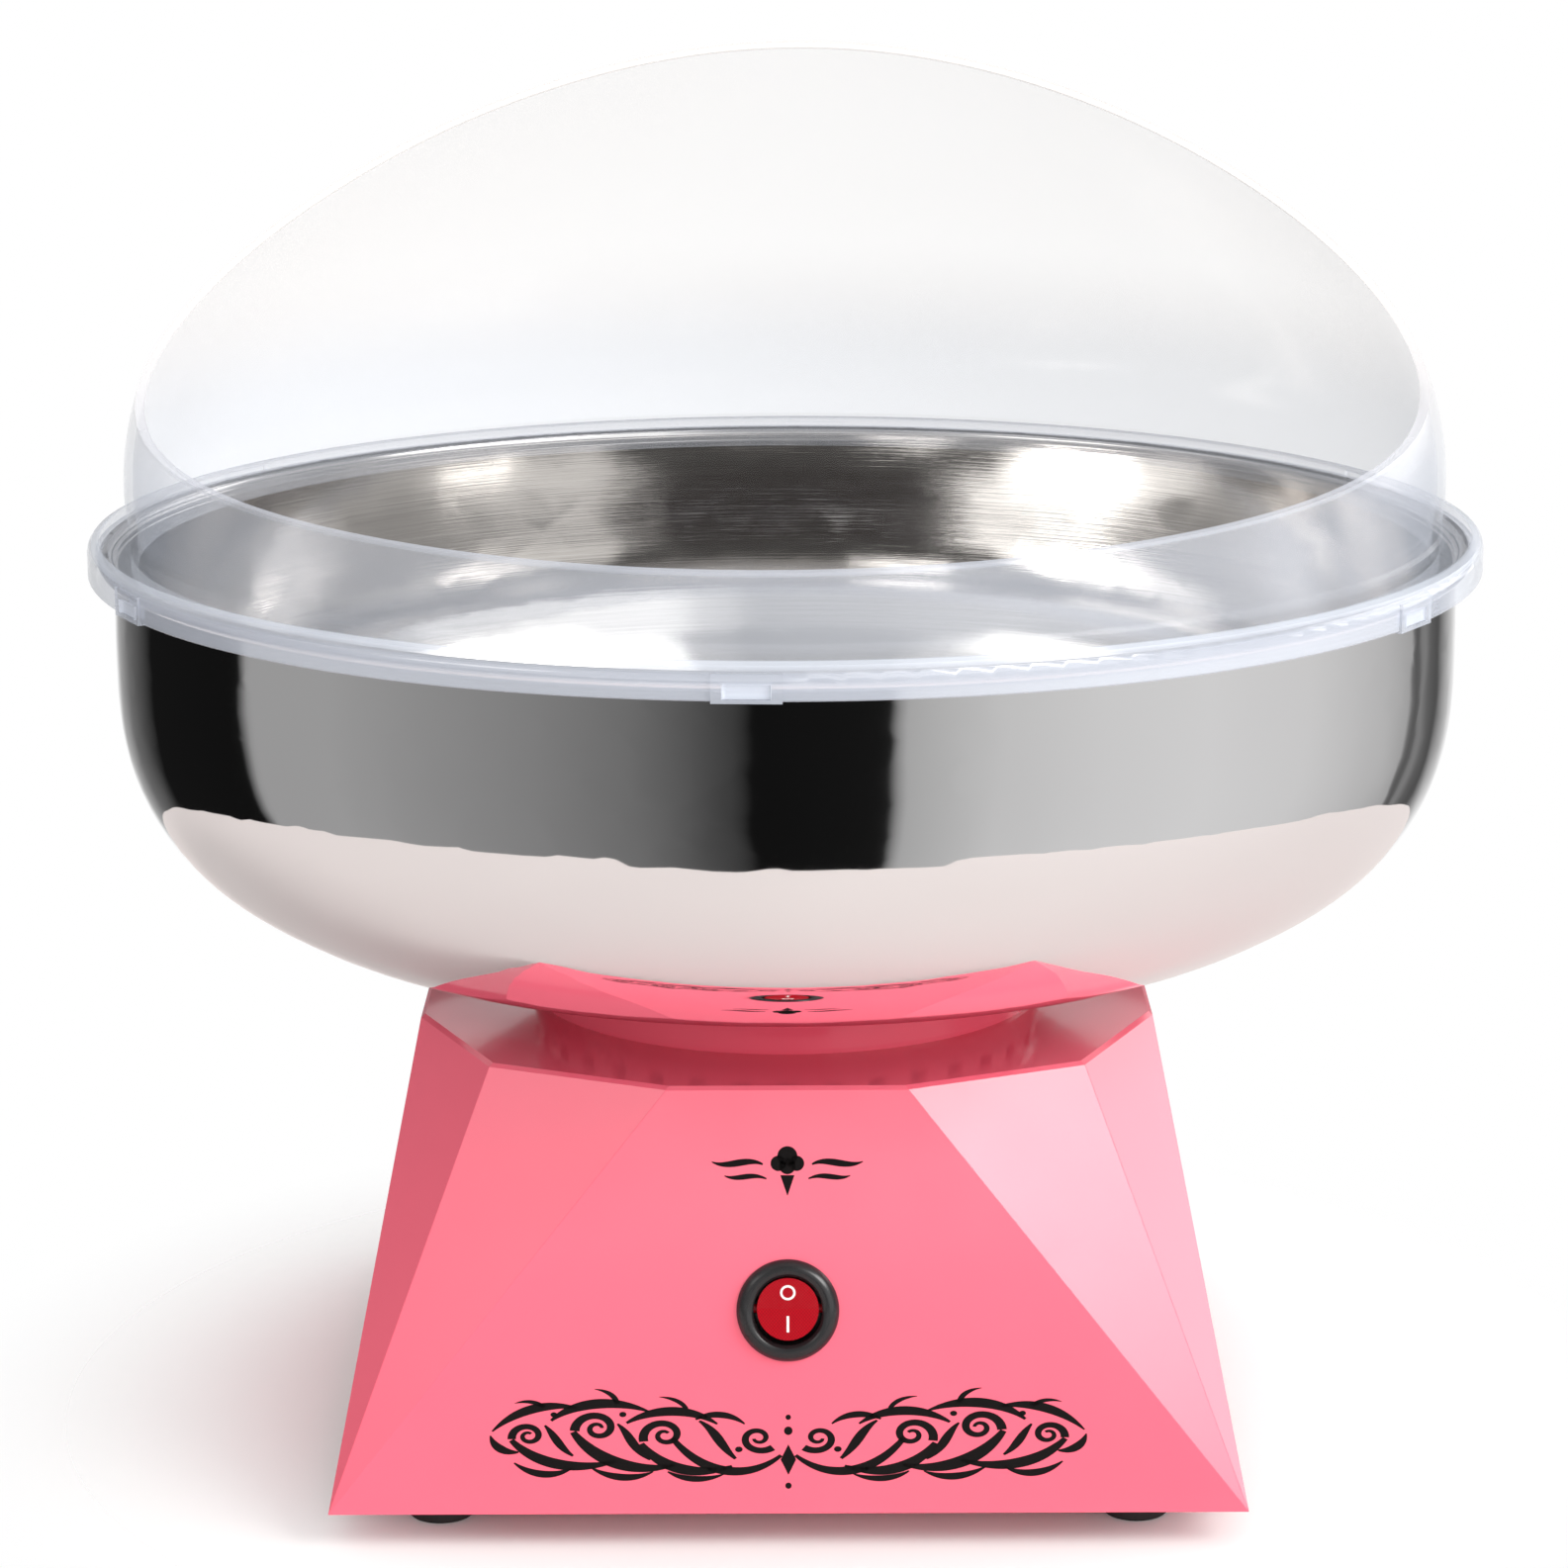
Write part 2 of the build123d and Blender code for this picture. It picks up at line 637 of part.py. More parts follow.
# ------------------------------------------------------------------- heater
with BuildPart() as heater_cup:
    with BuildSketch(Plane.XZ):
        with BuildLine():
            Polyline(
                (36.0, 102.2), (36.0, 127.2), (35.6, 128.0), (35.0, 128.0), (35.0, 117.2),
                (6.0, 117.2), (6.0, 116.2), (34.8, 116.2), (34.8, 101.0), (46.0, 101.0),
                (46.0, 102.2), (36.0, 102.2),
            )
        make_face()
    revolve(axis=Axis.Z)
    # screw holes in the flange, warm-air holes in the skirt, lead-in holes
    with BuildSketch(Plane.XY.offset(100.0)):
        with PolarLocations(41.5, 3, start_angle=90):
            Circle(1.6)
    extrude(amount=4.0, mode=Mode.SUBTRACT)
    with BuildSketch(Plane.XY.offset(115.0)):
        with Locations(polar(24.0, 188), polar(24.0, 172)):
            Circle(3.0)
        with PolarLocations(15.0, 8):
            Circle(2.4)
    extrude(amount=4.0, mode=Mode.SUBTRACT)
heater_cup.part.label = "heater_cup"
export_step(heater_cup.part, "parts/heater_cup.step")

with BuildPart() as heater_screws:
    with BuildSketch(Plane.XY.offset(102.2)):
        with PolarLocations(41.5, 3, start_angle=90):
            Circle(2.8)
    extrude(amount=1.6)
    with BuildSketch(Plane.XY.offset(96.0)):
        with PolarLocations(41.5, 3, start_angle=90):
            Circle(1.4)
    extrude(amount=6.3)
heater_screws.part.label = "heater_screws"
export_step(heater_screws.part, "parts/heater_screws.step")

with BuildPart() as heating_element:
    # open ring of sheathed heater tube with its two cold ends turned down
    with BuildLine() as ring_path:
        CenterArc((0, 0, 122.6), 24.0, 188, 344)
    ring_start = Plane(
        origin=ring_path.line @ 0, x_dir=(0, 0, 1), z_dir=ring_path.line % 0
    )
    with BuildSketch(ring_start):
        Circle(2.8)
    sweep(path=ring_path.line)
    for angle in (188, 172):
        lx, ly = polar(24.0, angle)
        with BuildSketch(Plane.XY.offset(110.5)):
            with Locations((lx, ly)):
                Circle(2.0)
        extrude(amount=13.5)
heating_element.part.label = "heating_element"
export_step(heating_element.part, "parts/heating_element.step")

with BuildPart() as element_supports:
    with BuildSketch(Plane.XY.offset(117.2)):
        with PolarLocations(24.0, 3):
            RectangleRounded(9.0, 6.0, 1.2)
    extrude(amount=2.6)
element_supports.part.label = "element_supports"
export_step(element_supports.part, "parts/element_supports.step")

# ---------------------------------------------------------- extractor head
with BuildPart() as head_dish:
    with BuildSketch(Plane.XZ):
        with BuildLine():
            Polyline(
                (7.0, 131.0), (22.0, 131.0), (HEAD_R - 1.5, 133.2), (HEAD_R, 135.2),
                (HEAD_R, 146.0), (HEAD_R - 1.6, 146.0), (HEAD_R - 1.6, 136.2),
                (22.0, 133.2), (7.0, 133.2), (7.0, 131.0),
            )
        make_face()
    revolve(axis=Axis.Z)
    # fine outlet slits round the wall
    with BuildSketch(Plane.XY.offset(137.6)):
        with PolarLocations(HEAD_R - 0.8, 60):
            Rectangle(4.0, 0.9)
    extrude(amount=6.4, mode=Mode.SUBTRACT)
    # posts for the cover's screws
    with BuildSketch(Plane.XY.offset(133.0)):
        with PolarLocations(26.0, 3, start_angle=30):
            Circle(2.6)
    extrude(amount=13.0)
    with BuildSketch(Plane.XY.offset(138.0)):
        with PolarLocations(26.0, 3, start_angle=30):
            Circle(1.2)
    extrude(amount=9.0, mode=Mode.SUBTRACT)
head_dish.part.label = "head_dish"
export_step(head_dish.part, "parts/head_dish.step")

with BuildPart() as head_cover:
    with BuildSketch(Plane.XZ):
        with BuildLine():
            Polyline(
                (HEAD_R - 0.1, 146.0), (HEAD_R + 0.6, 146.8), (HEAD_R + 0.6, 148.2), (HEAD_R - 0.8, 149.0),
                (21.0, 149.0), (19.0, 150.6), (17.6, 150.6), (17.0, 149.8), (17.0, 145.0), (18.4, 145.0),
                (18.4, 147.4), (20.4, 147.4), (20.4, 146.0), (HEAD_R - 0.1, 146.0),
            )
        make_face()
    revolve(axis=Axis.Z)
    with BuildSketch(Plane.XY.offset(145.0)):
        with PolarLocations(26.0, 3, start_angle=30):
            Circle(1.4)
    extrude(amount=6.0, mode=Mode.SUBTRACT)
head_cover.part.label = "head_cover"
export_step(head_cover.part, "parts/head_cover.step")

with BuildPart() as head_hub:
    with BuildSketch(Plane.XZ):
        with BuildLine():
            Polyline(
                (SHAFT_R + RUN, 126.4), (7.9, 126.4), (7.9, 131.0), (7.0, 131.0), (7.0, 133.2),
                (7.9, 133.2), (7.9, 135.0), (6.4, 143.0), (5.4, 144.2), (0, 144.2),
                (0, 142.0), (SHAFT_R + RUN, 142.0), (SHAFT_R + RUN, 126.4),
            )
        make_face()
    revolve(axis=Axis.Z)
    # cross slot that drops over the drive pin
    with BuildSketch(Plane.XY.offset(126.0)):
        Rectangle(13.4, 2.3)
    extrude(amount=3.9, mode=Mode.SUBTRACT)
head_hub.part.label = "head_hub"
export_step(head_hub.part, "parts/head_hub.step")

with BuildPart() as head_screws:
    with BuildSketch(Plane.XY.offset(149.0)):
        with PolarLocations(26.0, 3, start_angle=30):
            Circle(2.3)
    extrude(amount=1.3)
    with BuildSketch(Plane.XY.offset(140.0)):
        with PolarLocations(26.0, 3, start_angle=30):
            Circle(1.2)
    extrude(amount=9.1)
    with BuildSketch(Plane.XY.offset(149.7)):
        with PolarLocations(26.0, 3, start_angle=30):
            Rectangle(3.2, 0.6)
    extrude(amount=1.0, mode=Mode.SUBTRACT)
head_screws.part.label = "head_screws"
export_step(head_screws.part, "parts/head_screws.step")

# --------------------------------------------------------------------- bowl
BOWL_OUTER = [
    (58.6, SEAT_TOP), (82.0, 115.8), (96.0, 118.0), (108.9, 121.6), (117.6, 124.8), (124.6, 128.4),
    (130.8, 132.2), (136.1, 136.2), (144.7, 145.6), (150.6, 156.8), (153.4, 168.0), (154.3, 180.8),
    (154.3, 194.0), (154.2, 206.0),
]
BOWL_INNER = arc_points(BOWL_OUTER, BOWL_T)
with BuildPart() as bowl:
    with BuildSketch(Plane.XZ):
        with BuildLine():
            Spline(*BOWL_OUTER, tangents=[(1, 0), (0, 1)])
            Line(BOWL_OUTER[-1], BOWL_INNER[-1])
            Spline(*BOWL_INNER[::-1], tangents=[(0, -1), (-1, 0)])
            Polyline(
                BOWL_INNER[0], (BOWL_HOLE_R + 4.0, BOWL_INNER[0][1]), (BOWL_HOLE_R + 1.0, 116.6),
                (BOWL_HOLE_R + 1.0, 121.0), (BOWL_HOLE_R, 121.0), (BOWL_HOLE_R, 115.0),
                (BOWL_HOLE_R + 1.2, SEAT_TOP), BOWL_OUTER[0],
            )
        make_face()
    revolve(axis=Axis.Z)
    # rolled bead at the mouth
    with BuildSketch(Plane.XZ):
        with Locations((BEAD_RC, BEAD_Z)):
            Circle(BEAD_R)
            Circle(BEAD_R - 0.8, mode=Mode.SUBTRACT)
        with Locations((154.0, 206.0)):
            Rectangle(1.0, 2.4)
        # narrow flat that the guard rests on
        with Locations((BEAD_RC, BEAD_FLAT + 1.0)):
            Rectangle(6.0, 2.0, mode=Mode.SUBTRACT)
    revolve(axis=Axis.Z)
bowl.part.label = "bowl"
export_step(bowl.part, "parts/bowl.step")

with BuildPart() as bowl_seal:
    with BuildSketch(Plane.XZ):
        with BuildLine():
            Polyline(
                (BOWL_HOLE_R - 1.6, 112.0), (BOWL_HOLE_R + 8.0, 112.0), (BOWL_HOLE_R + 8.0, 113.4),
                (BOWL_HOLE_R + 1.1, 113.4), (BOWL_HOLE_R, 114.9), (BOWL_HOLE_R, 121.1),
                (BOWL_HOLE_R + 1.6, 121.1), (BOWL_HOLE_R + 1.6, 122.2), (BOWL_HOLE_R - 0.6, 122.8),
                (BOWL_HOLE_R - 1.6, 121.8), (BOWL_HOLE_R - 1.6, 112.0),
            )
        make_face()
    revolve(axis=Axis.Z)
bowl_seal.part.label = "bowl_seal"
export_step(bowl_seal.part, "parts/bowl_seal.step")

# -------------------------------------------------------------------- guard
DOME_OUTER = [(150.4, 213.6), (150.8, 217.0), (151.2, 221.0), (151.2, 225.0), (151.0, 229.0), (150.3, 234.2),
              (147.9, 244.2), (143.8, 254.2), (138.3, 264.2), (131.4, 274.2), (123.2, 284.2), (113.8, 294.2),
              (103.2, 304.2), (90.6, 315.0), (84.2, 320.2)]
DOME_INNER = arc_points(DOME_OUTER, DOME_T)
DOME_CUT = [(-175.0, 225.1), (-151.0, 228.2), (-120.0, 231.2), (-80.0, 235.3), (-40.0, 241.9), (0.0, 253.8),
            (30.0, 267.9), (60.0, 287.5), (80.0, 304.3), (91.0, 315.0), (112.0, 338.3)]
with BuildPart() as guard:
    # lip, flange and dome wall in one moulding
    with BuildSketch(Plane.XZ):
        with BuildLine():
            Spline(*DOME_OUTER)
            Line(DOME_OUTER[-1], DOME_INNER[-1])
            Spline(*DOME_INNER[::-1])
            Polyline(
                DOME_INNER[0], (148.6, 205.2), (150.2, 205.2), (150.2, BEAD_FLAT), (158.2, BEAD_FLAT),
                (158.2, RIM_BOTTOM), (159.7, RIM_BOTTOM), (RIM_R, RIM_BOTTOM + 0.3), (RIM_R, 209.4),
                (159.7, 210.4), (159.1, 211.1), (157.8, 211.6), (152.2, RIM_TOP), (150.9, 212.5), DOME_OUTER[0],
            )
        make_face()
    revolve(axis=Axis.Z)
    # slanted opening, low at the front
    with BuildSketch(Plane.YZ.offset(-180)):
        with BuildLine():
            Spline(*DOME_CUT)
            Polyline(DOME_CUT[-1], (112.0, 360.0), (-175.0, 360.0), DOME_CUT[0])
        make_face()
    extrude(amount=360, mode=Mode.SUBTRACT)
    # raised snap pads, each with a pocket
    with BuildSketch(Plane.XY.offset(RIM_BOTTOM - 0.3)):
        with PolarLocations(RIM_R - 0.6, TAB_COUNT, start_angle=-90):
            Rectangle(2.1, 14.4)
    extrude(amount=6.2)
    with BuildSketch(Plane.XY.offset(RIM_BOTTOM + 0.5)):
        with PolarLocations(RIM_R + 1.2, TAB_COUNT, start_angle=-90):
            RectangleRounded(3.2, 9.8, 0.8)
    extrude(amount=3.0, mode=Mode.SUBTRACT)
guard_part = guard.part.moved(Location((0, 0, 0), (0, 0, GUARD_TURN)))
guard_part.label = "guard"
export_step(guard_part, "parts/guard.step")
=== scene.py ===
import json
import math

import bmesh
import bpy
from mathutils import Matrix, Vector


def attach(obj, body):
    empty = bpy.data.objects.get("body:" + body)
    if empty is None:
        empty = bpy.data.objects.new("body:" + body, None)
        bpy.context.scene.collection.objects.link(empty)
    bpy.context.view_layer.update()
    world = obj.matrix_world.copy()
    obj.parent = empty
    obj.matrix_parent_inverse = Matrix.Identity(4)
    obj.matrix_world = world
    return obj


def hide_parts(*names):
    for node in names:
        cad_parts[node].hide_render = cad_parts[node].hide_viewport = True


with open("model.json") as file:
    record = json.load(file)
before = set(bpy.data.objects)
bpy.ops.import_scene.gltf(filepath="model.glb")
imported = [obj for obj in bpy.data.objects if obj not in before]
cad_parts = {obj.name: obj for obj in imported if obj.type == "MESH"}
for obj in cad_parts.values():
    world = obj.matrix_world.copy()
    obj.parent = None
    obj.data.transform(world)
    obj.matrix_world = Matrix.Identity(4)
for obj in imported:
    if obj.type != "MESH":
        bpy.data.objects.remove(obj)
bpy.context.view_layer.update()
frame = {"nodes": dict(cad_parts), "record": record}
scene = bpy.context.scene
coll = scene.collection
NODES = frame["nodes"]


# ------------------------------------------------------------ node helpers
class Tree:
    """A small helper that writes shader maths as calls."""

    def __init__(self, tree):
        self.t = tree
        self.n = tree.nodes
        self.l = tree.links

    def put(self, socket, value):
        if isinstance(value, bpy.types.NodeSocket):
            self.l.new(value, socket)
        elif value is not None:
            socket.default_value = value

    def math(self, op, a, b=None, c=None, clamp=False):
        m = self.n.new("ShaderNodeMath")
        m.operation = op
        m.use_clamp = clamp
        for s, v in zip(m.inputs, (a, b, c)):
            self.put(s, v)
        return m.outputs[0]

    def add(self, a, b):
        return self.math("ADD", a, b)

    def sub(self, a, b):
        return self.math("SUBTRACT", a, b)

    def mul(self, a, b, clamp=False):
        return self.math("MULTIPLY", a, b, clamp=clamp)

    def step(self, x, lo, hi, out_lo=0.0, out_hi=1.0, smooth=True):
        m = self.n.new("ShaderNodeMapRange")
        m.interpolation_type = "SMOOTHSTEP" if smooth else "LINEAR"
        m.clamp = True
        for name, v in (("Value", x), ("From Min", lo), ("From Max", hi), ("To Min", out_lo), ("To Max", out_hi)):
            self.put(m.inputs[name], v)
        return m.outputs[0]

    def xyz(self, vec):
        m = self.n.new("ShaderNodeSeparateXYZ")
        self.put(m.inputs[0], vec)
        return m.outputs[0], m.outputs[1], m.outputs[2]

    def join(self, x, y, z):
        m = self.n.new("ShaderNodeCombineXYZ")
        for s, v in zip(m.inputs, (x, y, z)):
            self.put(s, v)
        return m.outputs[0]

    def coord(self, kind="Object"):
        m = self.n.new("ShaderNodeTexCoord")
        return m.outputs[kind]

    def noise(self, vec, scale, detail=2.0, rough=0.5, distort=0.0):
        m = self.n.new("ShaderNodeTexNoise")
        self.put(m.inputs["Vector"], vec)
        m.inputs["Scale"].default_value = scale
        m.inputs["Detail"].default_value = detail
        m.inputs["Roughness"].default_value = rough
        m.inputs["Distortion"].default_value = distort
        return m.outputs["Fac"]

    def ramp(self, fac, stops, interp="LINEAR"):
        m = self.n.new("ShaderNodeValToRGB")
        m.color_ramp.interpolation = interp
        el = m.color_ramp.elements
        while len(el) > 1:
            el.remove(el[-1])
        el[0].position = stops[0][0]
        el[0].color = col(stops[0][1])
        for pos, c in stops[1:]:
            e = el.new(pos)
            e.color = col(c)
        self.put(m.inputs[0], fac)
        return m.outputs[0]

    def mix(self, fac, a, b):
        m = self.n.new("ShaderNodeMix")
        m.data_type = "RGBA"
        self.put(m.inputs[0], fac)
        self.put(m.inputs[6], a)
        self.put(m.inputs[7], b)
        return m.outputs[2]

    def bump(self, height, strength, distance):
        m = self.n.new("ShaderNodeBump")
        m.inputs["Strength"].default_value = strength
        m.inputs["Distance"].default_value = distance
        self.put(m.inputs["Height"], height)
        return m.outputs[0]


def col(c):
    if isinstance(c, (int, float)):
        return (c, c, c, 1.0)
    return tuple(c) + ((1.0,) if len(c) == 3 else ())


def srgb(r, g, b):
    return tuple(((v / 255) / 12.92 if v <= 10 else (((v / 255) + 0.055) / 1.055) ** 2.4) for v in (r, g, b))


def material(name, **sockets):
    m = bpy.data.materials.new(name)
    m.use_nodes = True
    b = m.node_tree.nodes["Principled BSDF"]
    for key, value in sockets.items():
        sock = b.inputs[key.replace("_", " ")]
        sock.default_value = col(value) if isinstance(value, tuple) and sock.type == "RGBA" else value
    return m, Tree(m.node_tree), b


def mottled(name, base, spread, scale, rough=(0.3, 0.45), bump=0.05, bump_scale=600.0, depth=0.0002, **sockets):
    """A plain surface with a little colour, gloss and height variation."""
    m, t, b = material(name, **sockets)
    pos = t.coord()
    n = t.noise(pos, scale, 3.0)
    dark = tuple(v * (1 - spread) for v in base)
    light = tuple(min(1.0, v * (1 + spread)) for v in base)
    t.put(b.inputs["Base Color"], t.ramp(n, [(0.3, dark), (0.7, light)]))
    t.put(b.inputs["Roughness"], t.step(t.noise(pos, scale * 3.1, 2.0), 0.3, 0.7, rough[0], rough[1], smooth=False))
    t.put(b.inputs["Normal"], t.bump(t.noise(pos, bump_scale, 2.0), bump, depth))
    return m


# --------------------------------------------------------------- materials
PINK = srgb(241, 102, 124)
pink = mottled("pink_abs", PINK, 0.012, 18.0, (0.10, 0.15), 0.02, 260.0, 0.0002, Specular_IOR_Level=0.5, Coat_Weight=0.2, Coat_Roughness=0.05)
nt = Tree(pink.node_tree)
px, py, pz = nt.xyz(nt.coord())
reach = nt.math("SQRT", nt.add(nt.mul(px, px), nt.mul(py, py)))
# painted shade: the deck around the bowl's seat is mixed towards a darker deep pink, standing in for the shade the
# bowl casts on it
painted_shade_under_bowl = nt.mul(nt.step(pz, 0.1001, 0.1006), nt.step(reach, 0.094, 0.066))
principled = pink.node_tree.nodes["Principled BSDF"]
tone = principled.inputs["Base Color"].links[0].from_socket
nt.put(principled.inputs["Base Color"], nt.mix(nt.mul(painted_shade_under_bowl, 0.55), tone, (0.60, 0.045, 0.085, 1.0)))
pink_under = mottled("pink_abs_satin", PINK, 0.02, 30.0, (0.35, 0.45), 0.05, 500.0, 0.0002)

# polished outside, lathe-brushed inside
steel, t, b = material("polished_bowl_steel", Metallic=1.0, Anisotropic=0.55)
pos = t.coord()
x, y, z = t.xyz(pos)
nx, ny, nz = t.xyz(t.coord("Normal"))
rad = t.math("SQRT", t.add(t.mul(x, x), t.mul(y, y)))
out = t.sub(t.math("DIVIDE", t.add(t.mul(nx, x), t.mul(ny, y)), t.math("MAXIMUM", rad, 0.001)), nz)
inside = t.step(out, -0.15, 0.15, 1.0, 0.0)
ang = t.math("ARCTAN2", y, x)
rings = t.noise(t.join(t.mul(rad, 2600.0), t.mul(z, 2600.0), t.mul(ang, 3.0)), 1.0, 3.0, 0.6)
soft = t.noise(t.join(t.mul(rad, 160.0), t.mul(z, 160.0), t.mul(ang, 1.2)), 1.0, 2.0, 0.5)
blot = t.noise(pos, 9.0, 2.0)
rough_in = t.step(soft, 0.3, 0.7, 0.06, 0.095, smooth=False)
rough_out = t.step(blot, 0.3, 0.7, 0.028, 0.05, smooth=False)
mixer = t.n.new("ShaderNodeMix")
t.put(mixer.inputs[0], inside)
t.put(mixer.inputs[2], rough_out)
t.put(mixer.inputs[3], rough_in)
t.put(b.inputs["Roughness"], mixer.outputs[0])
t.put(b.inputs["Base Color"], t.mix(inside, t.ramp(blot, [(0.3, (0.84, 0.83, 0.835)), (0.7, (0.88, 0.875, 0.875))]),
                                    t.ramp(rings, [(0.25, (0.74, 0.72, 0.70)), (0.75, (0.87, 0.85, 0.83))])))
t.put(b.inputs["Normal"], t.bump(t.mul(rings, inside), 0.10, 0.00008))
tangent = t.n.new("ShaderNodeTangent")
tangent.direction_type = "RADIAL"
tangent.axis = "Z"
t.put(b.inputs["Tangent"], tangent.outputs[0])

# clear, slightly milky moulding: denser at the lip and the flange; a band just under the cut edge is made more opaque
# as a painted highlight for the edge's bright line
TURN = math.radians(-2.8)
clear, t, b = material("clear_guard", Specular_IOR_Level=0.5, IOR=1.49)
pos = t.coord()
x, y, z = t.xyz(pos)
yl = t.add(t.mul(x, -math.sin(TURN)), t.mul(y, math.cos(TURN)))
ymm = t.mul(yl, 1000.0)
cut = t.add(253.81, t.mul(ymm, t.add(0.387, t.mul(ymm, t.add(0.002498, t.mul(ymm, 0.000007))))))
# painted highlight: a more opaque band just below the cut edge stands in for the bright line along it
edge = t.step(t.sub(t.mul(z, 1000.0), cut), -1.7, -0.5)
rad = t.math("SQRT", t.add(t.mul(x, x), t.mul(y, y)))
lip = t.step(rad, 0.1568, 0.1576)
flange = t.math("MAXIMUM", t.step(z, 0.2128, 0.2116), t.step(rad, 0.1516, 0.1526))
weight = t.n.new("ShaderNodeLayerWeight")
weight.inputs["Blend"].default_value = 0.30
facing = weight.outputs["Facing"]
haze = t.noise(pos, 14.0, 2.0)
low_wall = t.step(z, 0.262, 0.232, 0.0, 0.15)
wall_alpha = t.add(t.add(t.step(haze, 0.3, 0.7, 0.040, 0.055, smooth=False), low_wall), t.mul(t.math("POWER", facing, 2.2), 0.30))
alpha = t.math("MAXIMUM", wall_alpha, t.mul(edge, 0.38))
flange_alpha = t.mul(t.add(0.16, t.mul(facing, 0.12)), t.step(yl, -0.02, 0.09, 1.0, 0.6))
lip_alpha = t.add(t.step(haze, 0.3, 0.7, 0.36, 0.42, smooth=False), t.mul(t.step(z, 0.2100, 0.2114), 0.25))


def blend(tree, fac, low_value, high_value):
    m = tree.n.new("ShaderNodeMix")
    tree.put(m.inputs[0], fac)
    tree.put(m.inputs[2], low_value)
    tree.put(m.inputs[3], high_value)
    return m.outputs[0]


# the six snap windows read as solid white
around = t.math("COSINE", t.mul(t.add(t.math("ARCTAN2", y, x), math.radians(90) - TURN), 6.0))
window = t.mul(t.step(around, 0.980, 0.984), t.mul(t.step(z, 0.20425, 0.20435), t.step(z, 0.20735, 0.20725)))
window = t.mul(window, t.step(rad, 0.1525, 0.1535))
t.put(b.inputs["Alpha"], t.math("MAXIMUM", blend(t, lip, blend(t, flange, alpha, flange_alpha), lip_alpha), t.mul(window, 0.8)))
t.put(b.inputs["Base Color"], t.mix(t.step(z, 0.225, 0.27), (0.63, 0.67, 0.75, 1.0), (0.92, 0.83, 0.79, 1.0)))
t.put(b.inputs["Roughness"], t.step(haze, 0.3, 0.7, 0.10, 0.16, smooth=False))
ridges = t.math("SINE", t.mul(z, 2 * math.pi / 0.0011))
t.put(b.inputs["Normal"], t.bump(t.mul(ridges, lip), 0.10, 0.0001))

black_gloss = mottled("black_nylon", (0.012, 0.012, 0.013), 0.15, 60.0, (0.20, 0.28), 0.06, 1500.0, 0.0001)
rubber = mottled("foot_rubber", (0.018, 0.018, 0.018), 0.25, 80.0, (0.55, 0.7), 0.25, 900.0, 0.0002)

# rocker: red, faintly ribbed inside like a lens
rocker_mat, t, b = material("red_lens", Specular_IOR_Level=0.25, Coat_Weight=0.0, Coat_Roughness=0.05)
pos = t.coord()
x, y, z = t.xyz(pos)
rib = t.math("SINE", t.mul(z, 2 * math.pi / 0.0007))
ribx = t.math("SINE", t.mul(x, 2 * math.pi / 0.0007))
cell = t.mul(rib, ribx)
t.put(b.inputs["Base Color"], t.ramp(t.step(cell, -1, 1, 0.0, 1.0, smooth=False), [(0.0, (0.24, 0.001, 0.005)), (1.0, (0.42, 0.001, 0.010))]))
t.put(b.inputs["Roughness"], t.step(t.noise(pos, 300.0), 0.3, 0.7, 0.12, 0.2, smooth=False))
t.put(b.inputs["Normal"], t.bump(cell, 0.15, 0.00008))

white_print = mottled("white_print", (0.85, 0.85, 0.85), 0.03, 400.0, (0.35, 0.45), 0.05, 3000.0, 0.00005)
black_print = mottled("black_print", (0.004, 0.003, 0.003), 0.2, 90.0, (0.5, 0.6), 0.05, 2500.0, 0.00005, Specular_IOR_Level=0.15)


def metal(name, base, rough, stretch=(1, 1, 1), scale=400.0, **sockets):
    m, t, b = material(name, Metallic=1.0, **sockets)
    x, y, z = t.xyz(t.coord())
    v = t.join(t.mul(x, stretch[0]), t.mul(y, stretch[1]), t.mul(z, stretch[2]))
    n = t.noise(v, scale, 3.0, 0.6)
    t.put(b.inputs["Base Color"], t.ramp(n, [(0.25, tuple(c * 0.9 for c in base)), (0.75, base)]))
    t.put(b.inputs["Roughness"], t.step(n, 0.25, 0.75, rough[0], rough[1], smooth=False))
    t.put(b.inputs["Normal"], t.bump(n, 0.08, 0.0001))
    return m


def spun(name, base, rough, **sockets):
    m, t, b = material(name, Metallic=1.0, **sockets)
    x, y, z = t.xyz(t.coord())
    r = t.math("SQRT", t.add(t.mul(x, x), t.mul(y, y)))
    n = t.noise(t.join(t.mul(r, 3000.0), t.mul(z, 3000.0), t.mul(t.math("ARCTAN2", y, x), 1.5)), 1.0, 2.0)
    t.put(b.inputs["Base Color"], t.ramp(n, [(0.25, tuple(c * 0.88 for c in base)), (0.75, base)]))
    t.put(b.inputs["Roughness"], t.step(n, 0.25, 0.75, rough[0], rough[1], smooth=False))
    t.put(b.inputs["Normal"], t.bump(n, 0.15, 0.00008))
    return m


def braid(name, base):
    m, t, b = material(name)
    x, y, z = t.xyz(t.coord())
    a = t.math("SINE", t.mul(t.add(t.add(x, y), z), 2 * math.pi / 0.0012))
    c = t.math("SINE", t.mul(t.sub(t.add(x, y), z), 2 * math.pi / 0.0012))
    w = t.step(t.mul(a, c), -1, 1, smooth=False)
    t.put(b.inputs["Base Color"], t.ramp(w, [(0.0, tuple(v * 0.6 for v in base)), (1.0, base)]))
    t.put(b.inputs["Roughness"], t.step(w, 0, 1, 0.85, 0.65, smooth=False))
    t.put(b.inputs["Normal"], t.bump(w, 0.3, 0.0002))
    return m


